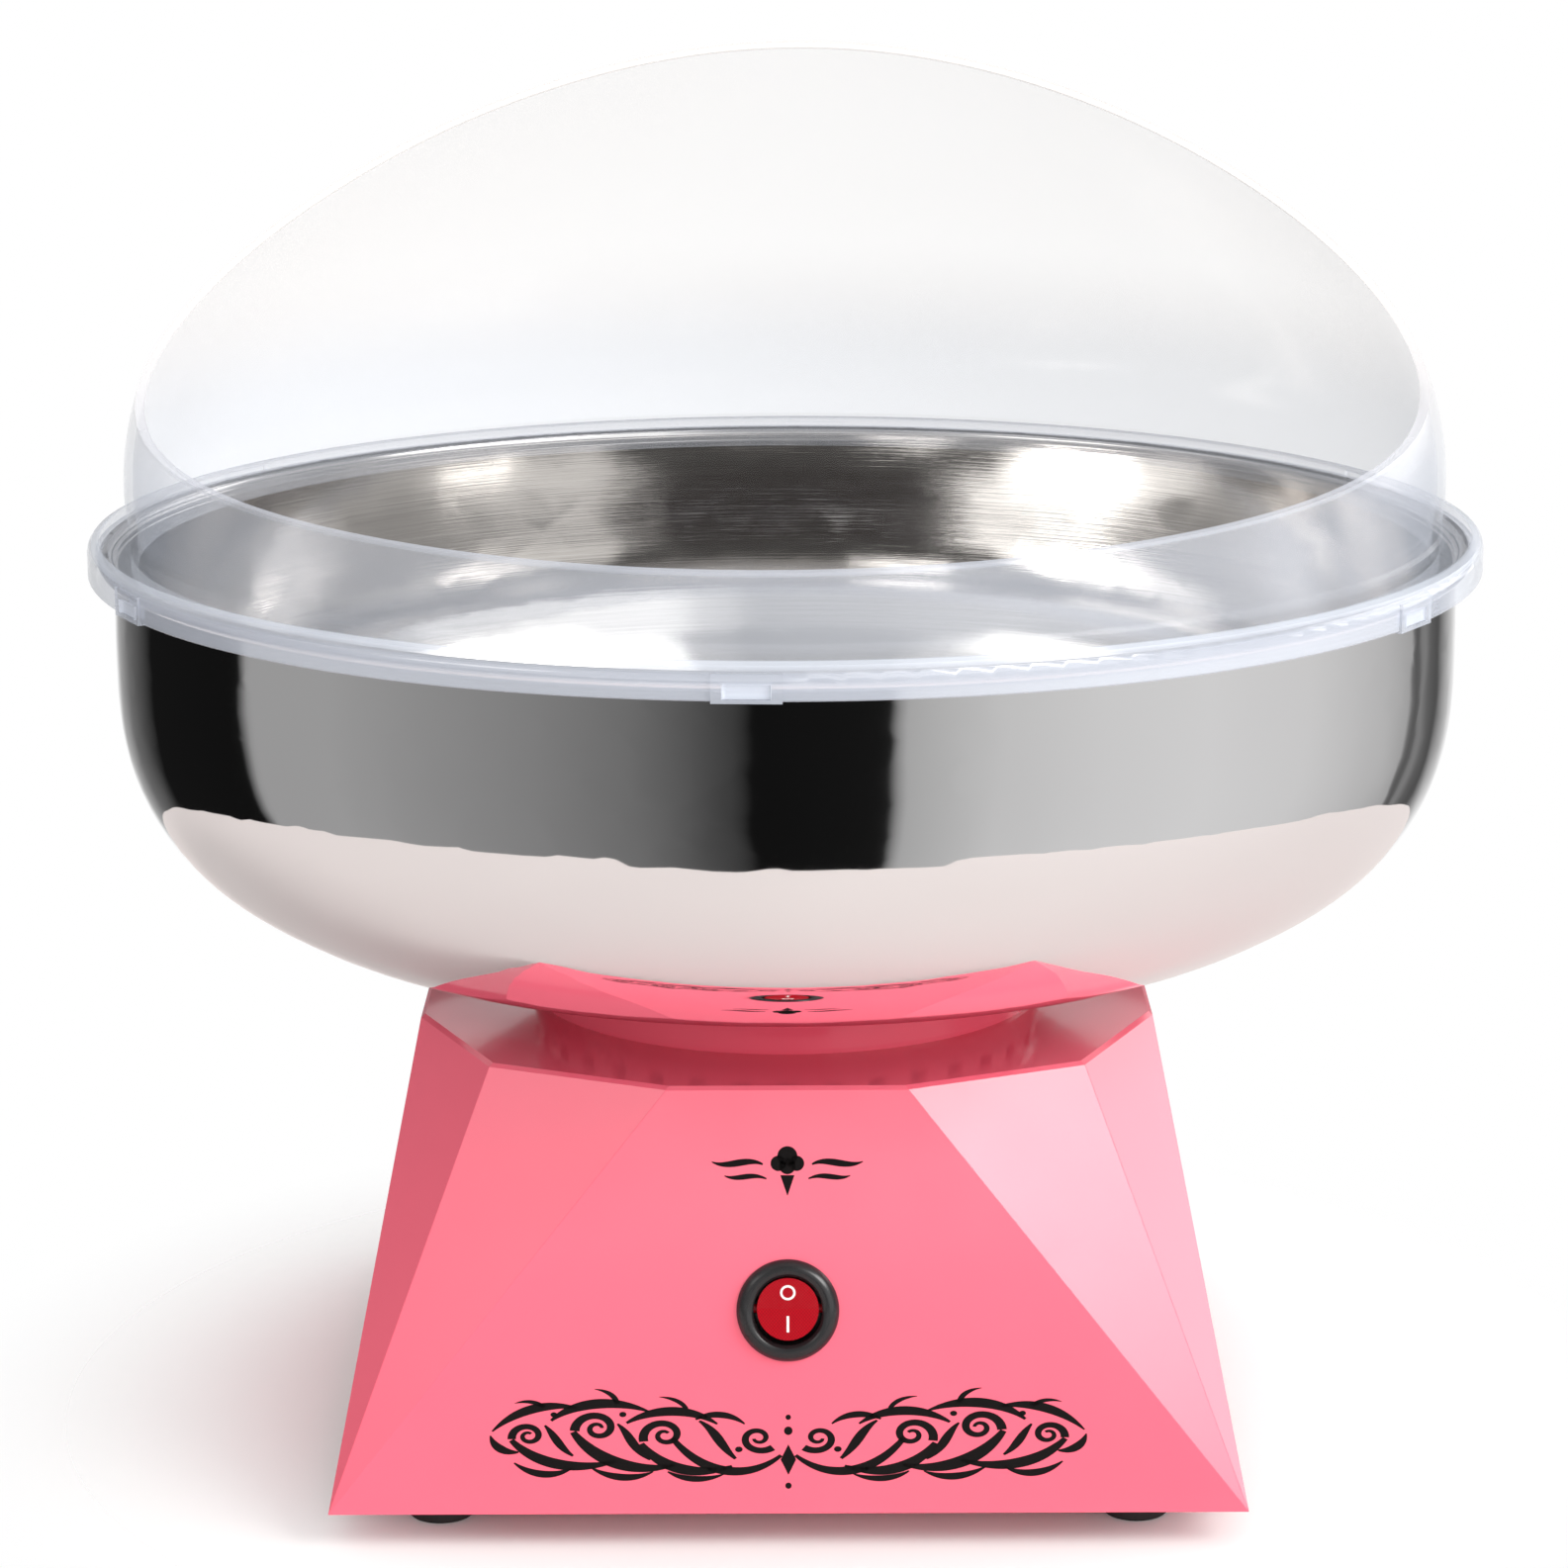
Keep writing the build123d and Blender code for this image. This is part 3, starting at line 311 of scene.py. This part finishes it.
BY_SLOT = {
    "pink_plastic": pink,
    "polished_steel": steel,
    "clear_plastic": clear,
    "black_plastic": black_gloss,
    "red_rocker": rocker_mat,
    "black_rubber": rubber,
    "white_plastic": mottled("white_nylon", (0.78, 0.77, 0.74), 0.04, 60.0, (0.4, 0.5), 0.05),
    "board": mottled("circuit_board", (0.05, 0.22, 0.10), 0.2, 500.0, (0.35, 0.5), 0.1),
    "wire_sleeve": braid("glass_fibre_sleeve", (0.75, 0.73, 0.68)),
    "steel_fastener": metal("zinc_fastener", (0.66, 0.67, 0.68), (0.28, 0.4)),
    "motor_steel": metal("plain_steel", (0.52, 0.52, 0.52), (0.3, 0.42), (1, 1, 4)),
    "element_steel": mottled("heated_steel", (0.16, 0.13, 0.11), 0.35, 120.0, (0.4, 0.6), 0.1, Metallic=1.0),
    "aluminium_parts": spun("spun_aluminium", (0.80, 0.80, 0.81), (0.26, 0.38)),
    "brass_parts": metal("sintered_brass", (0.72, 0.55, 0.28), (0.3, 0.45)),
    "copper": spun("turned_copper", (0.80, 0.42, 0.26), (0.2, 0.32)),
    "magnet": mottled("ferrite", (0.06, 0.06, 0.065), 0.3, 200.0, (0.5, 0.65), 0.2),
    "ceramic_posts": mottled("ceramic", (0.82, 0.79, 0.72), 0.05, 80.0, (0.5, 0.6), 0.08),
}
slot_of = {s["node"]: s["material_slot"] for s in frame["record"]["subparts"]}
for name, obj in NODES.items():
    obj.data.materials.clear()
    obj.data.materials.append(BY_SLOT[slot_of[name]])
NODES["bottom_plate"].data.materials[0] = pink_under


# ---------------------------------------------------------------- geometry
def smooth_by_angle(obj, degrees):
    me = obj.data
    me.polygons.foreach_set("use_smooth", [True] * len(me.polygons))
    me.set_sharp_from_angle(angle=math.radians(degrees))


def refined(node, choose, segments=3, sharp=30.0, weighted=True):
    """A copy of a CAD node with its edges rounded: choose(edge) gives the width in metres, or 0."""
    src = NODES[node]
    bm = bmesh.new()
    bm.from_mesh(src.data)
    bmesh.ops.remove_doubles(bm, verts=bm.verts, dist=2e-6)
    bmesh.ops.dissolve_limit(bm, angle_limit=math.radians(0.4), verts=bm.verts, edges=bm.edges, use_dissolve_boundaries=False)
    bm.normal_update()
    layer = bm.edges.layers.float.get("bevel_weight_edge") or bm.edges.layers.float.new("bevel_weight_edge")
    groups = {}
    for e in bm.edges:
        if len(e.link_faces) == 2:
            w = choose(e)
            if w > 0:
                groups.setdefault(round(w, 6), []).append(e)
    widest = max(groups) if groups else 0
    for w, edges in groups.items():
        for e in edges:
            e[layer] = w / widest
    me = bpy.data.meshes.new(node + "_skin")
    bm.to_mesh(me)
    bm.free()
    new = bpy.data.objects.new(node + "_skin", me)
    coll.objects.link(new)
    me.materials.append(src.data.materials[0])
    mod = new.modifiers.new("round", "BEVEL")
    mod.limit_method = "WEIGHT"
    mod.width = widest
    mod.segments = segments
    mod.use_clamp_overlap = True
    mod.miter_outer = "MITER_ARC"
    bpy.context.view_layer.update()
    deps = bpy.context.evaluated_depsgraph_get()
    baked = bpy.data.meshes.new_from_object(new.evaluated_get(deps), depsgraph=deps)
    new.modifiers.clear()
    new.data = baked
    smooth_by_angle(new, sharp)
    if weighted:
        wn = new.modifiers.new("flat_faces", "WEIGHTED_NORMAL")
        wn.keep_sharp = True
        wn.weight = 90
    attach(new, next(bd for bd, ns in frame["record"]["behaviour"]["bodies"].items() if node in ns))
    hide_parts(node)
    return new


def shell_edges(e):
    ang = e.calc_face_angle(0.0)
    if ang < math.radians(12) or not e.is_convex:
        return 0
    mid = (e.verts[0].co + e.verts[1].co) / 2
    length = e.calc_length()
    if mid.z > 0.0995:
        return 0.0004 if length > 0.01 else 0.0003
    if length > 0.015:
        return 0.0009 if mid.z < 0.0085 else 0.0018
    return 0.0003


shell = refined("base_shell", shell_edges, segments=4)

# the lean of the front and back faces
LEAN = math.atan((101.5 - 84.5) / (101.0 - 8.0))


def front(u, v, lift=0.0):
    """World point on the front face: u to the right, v up the slope from the bottom edge, lift off the face, in mm."""
    return Vector((
        u,
        -101.5 + v * math.sin(LEAN) - lift * math.cos(LEAN),
        8.0 + v * math.cos(LEAN) + lift * math.sin(LEAN),
    )) / 1000


def solid_print(name, polygons, lift, thick, mat, body, place):
    """Flat polygons printed on a face: a thin closed solid for each. polygons are lists of convex quads or triangles."""
    bm = bmesh.new()
    for quads in polygons:
        low = {}
        faces = []
        for q in quads:
            vs = []
            for p in q:
                key = (round(p[0], 4), round(p[1], 4))
                if key not in low:
                    low[key] = bm.verts.new(place(p[0], p[1], lift + thick))
                vs.append(low[key])
            if len(set(vs)) >= 3:
                try:
                    faces.append(bm.faces.new(list(dict.fromkeys(vs))))
                except ValueError:
                    pass
        bmesh.ops.recalc_face_normals(bm, faces=faces)
        out = place(0, 0, 1) - place(0, 0, 0)
        if faces and faces[0].normal.dot(out) < 0:
            for f in faces:
                f.normal_flip()
        extr = bmesh.ops.extrude_face_region(bm, geom=faces)
        moved = [g for g in extr["geom"] if isinstance(g, bmesh.types.BMVert)]
        off = place(0, 0, lift) - place(0, 0, lift + thick)
        for vtx in moved:
            vtx.co += off
    bm.normal_update()
    bmesh.ops.recalc_face_normals(bm, faces=bm.faces)
    me = bpy.data.meshes.new(name)
    bm.to_mesh(me)
    bm.free()
    me.materials.append(mat)
    o = bpy.data.objects.new(name, me)
    coll.objects.link(o)
    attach(o, body)
    return o


def ribbon(points, widths):
    """Quads along a line, with the width at each point."""
    left, right = [], []
    for i, (px, py) in enumerate(points):
        a = points[max(i - 1, 0)]
        c = points[min(i + 1, len(points) - 1)]
        dx, dy = c[0] - a[0], c[1] - a[1]
        n = math.hypot(dx, dy) or 1.0
        w = widths[i] / 2
        left.append((px - dy / n * w, py + dx / n * w))
        right.append((px + dy / n * w, py - dx / n * w))
    return [(left[i], right[i], right[i + 1], left[i + 1]) for i in range(len(points) - 1)]


def curl(cx, cy, r0, r1, a0, turns, w0, w1, steps=56):
    """A spiral from radius r0 to r1, tapering."""
    pts, ws = [], []
    for i in range(steps + 1):
        k = i / steps
        r = r0 * (r1 / r0) ** k
        a = math.radians(a0 + 360 * turns * k)
        pts.append((cx + r * math.cos(a), cy + r * math.sin(a)))
        ws.append(w0 + (w1 - w0) * k)
    return ribbon(pts, ws)


def bez(p0, p1, p2, p3, w, steps=40):
    """A swelling stroke along a Bezier curve: w is (start, middle, end) width."""
    pts, ws = [], []
    for i in range(steps + 1):
        k = i / steps
        m = 1 - k
        pts.append(tuple(m ** 3 * a + 3 * m * m * k * b2 + 3 * m * k * k * c + k ** 3 * d for a, b2, c, d in zip(p0, p1, p2, p3)))
        ws.append((w[0] * m + w[2] * k) + (w[1] - (w[0] + w[2]) / 2) * math.sin(math.pi * k))
    return ribbon(pts, ws)


def mirrored(parts):
    return parts + [[tuple((-x, y) for x, y in q) for q in quads] for quads in parts]


def disc(cx, cy, r, n=20):
    ring = [(cx + r * math.cos(2 * math.pi * i / n), cy + r * math.sin(2 * math.pi * i / n)) for i in range(n)]
    return [((cx, cy), ring[i], ring[(i + 1) % n]) for i in range(n)]


# scroll border of our own: a running vine of curls and leaves, mirrored about the middle
half = [
    bez((1.6, 12.2), (9, 4.2), (19, 6.4), (25.5, 17.4), (0.9, 2.6, 1.3)),
    curl(6.6, 17.4, 4.3, 1.0, 222, 1.35, 1.9, 0.8),
    bez((12.4, 9.0), (20, 5.6), (28, 8.0), (32.4, 15.8), (0.7, 3.0, 1.4)),
    curl(27.2, 18.3, 5.0, 1.0, -22, 1.45, 2.1, 0.8),
    bez((25.2, 9.4), (34, 6.4), (43, 11.0), (47.4, 19.4), (0.7, 3.4, 1.5)),
    curl(42.0, 20.4, 5.1, 1.0, -8, 1.5, 2.2, 0.8),
    bez((38, 10.6), (47, 7.2), (56, 9.8), (61, 17.0), (0.7, 3.0, 1.3)),
    curl(57.2, 18.2, 3.8, 0.9, -14, 1.4, 1.9, 0.7),
    bez((15.6, 21.6), (21, 26.6), (29.5, 26.8), (35.6, 22.0), (0.5, 2.7, 0.7)),
    bez((30.6, 25.4), (38, 29.4), (47, 28.6), (52.2, 22.8), (0.5, 2.9, 0.7)),
    bez((9.6, 21.6), (12.6, 25.0), (17.4, 25.2), (20.4, 23.0), (0.4, 1.9, 0.5)),
    bez((46.4, 26.6), (53, 28.4), (60, 26.2), (65.2, 19.6), (0.5, 2.6, 0.4)),
    bez((11.6, 11.2), (15.4, 15.6), (15.6, 19.4), (19.6, 22.6), (0.8, 2.3, 0.6)),
    bez((30.4, 11.0), (34.4, 14.2), (34.8, 18.6), (37.6, 21.8), (0.6, 2.2, 0.5)),
    bez((47.4, 12.2), (50.6, 14.8), (51.4, 18.4), (53.6, 21.4), (0.6, 2.0, 0.5)),
    bez((59.4, 13.4), (62.6, 13.0), (65.0, 15.0), (65.6, 18.4), (0.5, 2.2, 0.3)),
    bez((29.8, 7.4), (34, 4.8), (39, 5.2), (43.4, 8.6), (0.3, 2.1, 0.4)),
    bez((47.6, 8.6), (51.6, 5.6), (56.6, 6.2), (60.4, 10.2), (0.3, 2.1, 0.4)),
    bez((14.2, 6.6), (18.4, 4.4), (23.2, 4.8), (26.6, 7.4), (0.3, 1.8, 0.4)),
    bez((22.4, 26.2), (23.4, 28.4), (25.6, 29.6), (28.4, 29.8), (1.0, 1.1, 0.15)),
    bez((37.6, 27.8), (38.0, 30.2), (39.8, 31.8), (42.6, 32.2), (1.1, 1.2, 0.15)),
    bez((53.6, 26.8), (55.4, 28.6), (57.8, 29.0), (60.2, 28.0), (1.0, 1.1, 0.15)),
    disc(10.9, 14.0, 0.85),
    disc(51.6, 24.6, 0.75),
    disc(36.4, 24.6, 0.8),
]
half = [[tuple((x, 6.9 + (y - 4.0) * 0.74) for x, y in q) for q in quads] for quads in half]
scroll = mirrored(half) + [
    [((0, 8.6), (1.7, 12.0), (0, 15.4)), ((0, 8.6), (0, 15.4), (-1.7, 12.0))],
    disc(0, 18.4, 0.95),
    disc(0, 21.4, 0.6),
    disc(0, 6.2, 0.7),
]
solid_print("scroll_print", scroll, 0.012, 0.03, black_print, "base", front)

# plain pictogram: a cone with a cloud of floss between two tapering strokes
cloud = [disc(0, 79.2, 2.2, 32), disc(-2.0, 77.6, 1.7, 28), disc(2.0, 77.6, 1.7, 28), disc(0, 77.0, 1.8, 28)]
cone = [[((-1.55, 75.0), (1.55, 75.0), (0, 70.4))]]
dashes = mirrored([
    bez((5.4, 77.4), (9, 79.2), (13, 76.2), (16.6, 78.0), (0.4, 1.5, 0.2)),
    bez((4.6, 74.2), (8.0, 75.8), (11, 73.6), (13.8, 74.9), (0.3, 1.2, 0.2)),
])
solid_print("front_pictogram", cloud + cone + dashes, 0.012, 0.03, black_print, "base", front)

# ------------------------------------------------------- switch legends
SW = Matrix.Translation(Vector((0, -101.5 + (52.4 - 8.0) * 17.0 / 93.0, 52.4)) / 1000)
ZD = Vector((0, -math.cos(LEAN), math.sin(LEAN)))
XD = Vector((1, 0, 0))
YD = ZD.cross(XD)
BASIS = Matrix(((XD.x, YD.x, ZD.x, 0), (XD.y, YD.y, ZD.y, 0), (XD.z, YD.z, ZD.z, 0), (0, 0, 0, 1)))
TILT = Matrix.Translation(Vector((0, 0, -0.0026))) @ Matrix.Rotation(math.radians(-7.0), 4, "X") @ Matrix.Translation(Vector((0, 0, 0.0026)))
ROCK = SW @ BASIS @ TILT
SLOPE = math.atan(1.9 / 8.0)


def on_rocker(sign):
    """A placing function on the upper (sign 1) or lower (sign -1) slope of the rocker."""
    def place(u, v, lift=0.0):
        y = sign * v * math.cos(SLOPE) - sign * lift * math.sin(SLOPE)
        z = 1.5 + v * math.sin(SLOPE) + lift * math.cos(SLOPE)
        return ROCK @ (Vector((u, y, z)) / 1000)
    return place


def ring(cx, cy, ro, ri, n=40):
    quads = []
    for i in range(n):
        a, b2 = 2 * math.pi * i / n, 2 * math.pi * (i + 1) / n
        quads.append((
            (cx + ri * math.cos(a), cy + ri * math.sin(a)), (cx + ro * math.cos(a), cy + ro * math.sin(a)),
            (cx + ro * math.cos(b2), cy + ro * math.sin(b2)), (cx + ri * math.cos(b2), cy + ri * math.sin(b2)),
        ))
    return quads


solid_print("legend_off", [ring(0, 3.7, 1.7, 1.2)], 0.01, 0.05, white_print, "rocker", on_rocker(1))
solid_print("legend_on", [[((-0.27, 1.6), (0.27, 1.6), (0.27, 5.2), (-0.27, 5.2))]], 0.01, 0.05, white_print, "rocker", on_rocker(-1))

# ------------------------------------------------------------------- stage
outline = []
for i in range(180):
    deg = -180 + 2 * i
    lobe = max(0.0, min(1.0, (25.0 - abs(deg)) / 3.0))
    r = 0.455 - 0.035 * lobe * lobe * (3 - 2 * lobe)
    outline.append((r * math.sin(math.radians(deg)), -r * math.cos(math.radians(deg)), -0.0002))
me = bpy.data.meshes.new("floor")
me.from_pydata(outline, [], [tuple(range(180))])
me.update()
floor = bpy.data.objects.new("floor", me)
coll.objects.link(floor)
floor_mat, t, b = material("pale_floor", Specular_IOR_Level=0.2)
pos = t.coord()
n = t.noise(pos, 3.0)
fx, fy, fz = t.xyz(pos)
far = t.math("SQRT", t.add(t.mul(fx, fx), t.mul(fy, fy)))
t.put(b.inputs["Roughness"], t.step(n, 0.3, 0.7, 0.6, 0.7, smooth=False))
seen = t.n.new("ShaderNodeLightPath").outputs["Is Camera Ray"]
t.put(b.inputs["Base Color"], t.mix(seen, t.ramp(n, [(0.3, (0.64, 0.590, 0.577)), (0.7, (0.66, 0.610, 0.597))]),
                                    t.ramp(n, [(0.3, (0.92, 0.91, 0.905)), (0.7, (0.94, 0.93, 0.925))])))
t.put(b.inputs["Alpha"], t.sub(1.0, t.mul(t.step(far, 0.10, 0.21), seen)))
me.materials.append(floor_mat)

world = bpy.data.worlds.new("studio")
scene.world = world
world.use_nodes = True
t = Tree(world.node_tree)
bg = world.node_tree.nodes["Background"]
dx, dy, dz = t.xyz(t.coord("Generated"))
az = t.math("ARCTAN2", dx, t.mul(dy, -1.0))
turn = t.add(t.mul(az, 1 / (2 * math.pi)), 0.5)


def at(deg):
    return (deg + 180.0) / 360.0


BANDS = [
    (-180, 1.0), (-168, 1.0), (-160, 0.42), (-150, 0.16), (-141, 0.07), (-135, 0.008), (-104, 0.006), (-101, 0.36),
    (-82, 0.36), (-61, 0.29), (-42, 0.235), (-25, 0.165), (-12, 0.07), (-7.5, 0.045), (-6, 0.006), (17, 0.008),
    (19, 0.42), (36, 0.60), (54, 0.68), (74, 0.72), (97, 0.68), (121, 0.52), (131, 0.40), (132.5, 0.10),
    (135, 0.12), (137, 0.25), (141, 0.12), (146, 0.08), (151, 0.30), (158, 0.6), (168, 1.0), (180, 1.0),
]
low = t.ramp(turn, [(at(d), v) for d, v in BANDS])
ARCH = [
    (-180, 0.08), (-112, 0.09), (-104, 0.85), (-52, 0.9), (-34, 0.70), (-26, 0.40), (8, 0.34), (22, 0.60),
    (26, 1.7), (88, 1.7), (93, 0.09), (180, 0.08),
]
MID = [
    (-180, 0.30), (-120, 0.16), (-90, 0.30), (-45, 0.62), (-20, 0.50), (5, 0.45), (15, 0.8), (24, 1.3), (70, 1.3), (84, 0.35),
    (115, 0.40), (124, 2.4), (146, 2.4), (156, 0.30), (180, 0.30),
]
arch = t.ramp(turn, [(at(d), v) for d, v in ARCH])
mid = t.ramp(turn, [(at(d), v) for d, v in MID])
glossy = t.mix(t.step(dz, -0.09, -0.03), low, mid)
glossy = t.mix(t.step(dz, 0.46, 0.60), glossy, arch)
glossy = t.mix(t.step(dz, 0.940, 0.955), glossy, (0.05, 0.045, 0.045, 1.0))
box = t.mul(t.mul(t.step(turn, at(38), at(50)), t.step(turn, at(86), at(72))), t.mul(t.step(dz, 0.36, 0.54), t.step(dz, 0.80, 0.70)))
box2 = t.mul(t.mul(t.step(turn, at(-80), at(-66)), t.step(turn, at(-36), at(-48))), t.mul(t.step(dz, 0.40, 0.54), t.step(dz, 0.72, 0.60)))
strip = t.mul(t.mul(t.step(dz, 0.02, 0.035), t.step(dz, 0.088, 0.078)), t.mul(t.step(turn, at(-50), at(-30)), t.step(turn, at(50), at(30))))
glossy = t.mix(strip, glossy, (1.9, 1.88, 1.86, 1.0))
glossy = t.mix(box2, glossy, (2.6, 2.55, 2.5, 1.0))
glossy = t.mix(box, glossy, (10.6, 10.4, 10.2, 1.0))
side = t.step(dx, -1.0, 1.0, 0.80, 1.16, smooth=False)
wash = t.join(side, t.mul(side, 0.995), t.mul(side, 0.99))
path = t.n.new("ShaderNodeLightPath")
soft_rays = t.math("MAXIMUM", path.outputs["Is Diffuse Ray"], path.outputs["Is Transmission Ray"])
studio = t.mix(soft_rays, glossy, wash)
shown = t.mix(path.outputs["Is Camera Ray"], studio, (1.0, 1.0, 1.0, 1.0))
t.put(bg.inputs["Color"], shown)
bg.inputs["Strength"].default_value = 1.0


def lamp(name, loc, aim, size, power, colour=(1, 1, 1), glossy=True):
    data = bpy.data.lights.new(name, "AREA")
    data.shape = "RECTANGLE"
    data.size, data.size_y = size
    data.energy = power
    data.color = colour
    o = bpy.data.objects.new(name, data)
    coll.objects.link(o)
    o.location = loc
    o.rotation_euler = (Vector(aim) - Vector(loc)).to_track_quat("-Z", "Y").to_euler()
    o.visible_camera = False
    o.visible_glossy = glossy
    return o


lamp("front_fill", (0.3, -2.6, 0.75), (0, 0, 0.10), (1.6, 1.0), 20, glossy=False)
lamp("right_soft", (1.7, -1.0, 0.7), (0, 0, 0.10), (0.9, 0.9), 9, glossy=False)

# ------------------------------------------------------------------ camera
cam_data = bpy.data.cameras.new("camera")
cam_data.sensor_width = 36.0
cam_data.lens = 4742.1 / 1585 * 36.0
cam_data.shift_x = -0.0013
cam_data.clip_start = 0.05
cam_data.clip_end = 50.0
cam = bpy.data.objects.new("camera", cam_data)
coll.objects.link(cam)
cam.location = (0, -1.0702, 0.4033)
cam.rotation_euler = (math.radians(90 - 13.36), 0, 0)
cam.rotation_euler.rotate_axis("Z", math.radians(-0.2))
scene.camera = cam
scene.view_settings.view_transform = "Standard"
scene.view_settings.look = "None"
